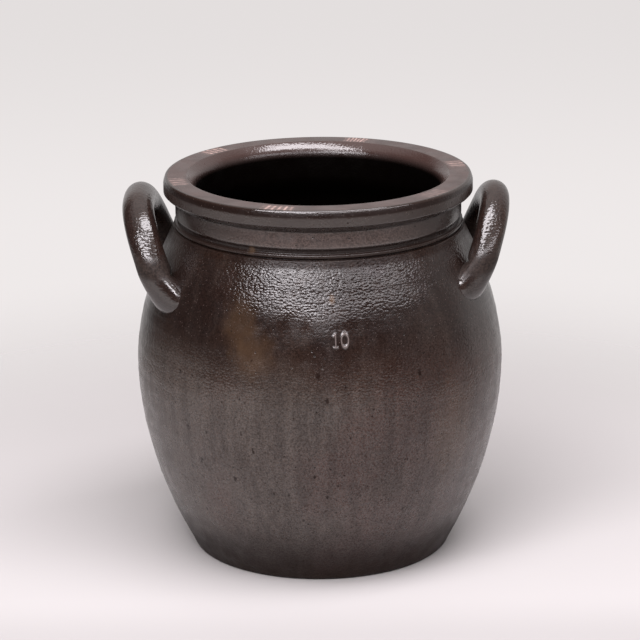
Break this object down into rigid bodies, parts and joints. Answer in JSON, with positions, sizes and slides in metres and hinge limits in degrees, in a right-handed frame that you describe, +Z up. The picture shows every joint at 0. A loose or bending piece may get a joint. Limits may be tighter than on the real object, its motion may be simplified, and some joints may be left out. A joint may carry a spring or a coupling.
{
  "type": "stoneware crock",
  "caption": "Salt-glazed stoneware crock with a swelling belly, a short grooved neck, a thick flat rim and two upright loop handles; holds preserves or dry food.",
  "frame": {"origin": "centre of the flat base, on the surface that the crock stands on", "axes": "+Z up along the pot's axis, -Y towards the front, handles at -X (left) and +X (right)"},
  "size_m": [0.2855, 0.2732, 0.284],
  "materials": {
    "pot_glaze": "dark purple-brown salt glaze with an orange-peel texture",
    "handle_glaze": "grey-brown salt glaze with an orange-peel texture",
    "pad_glaze": "grey-brown satin salt glaze"
  },
  "bodies": {
    "root": {"crock_body": "pot_glaze", "handle_left": "handle_glaze", "handle_right": "handle_glaze", "handle_left_front_pad": "pad_glaze", "handle_left_rear_pad": "pad_glaze", "handle_right_front_pad": "pad_glaze", "handle_right_rear_pad": "pad_glaze"}
  },
  "joints": []
}
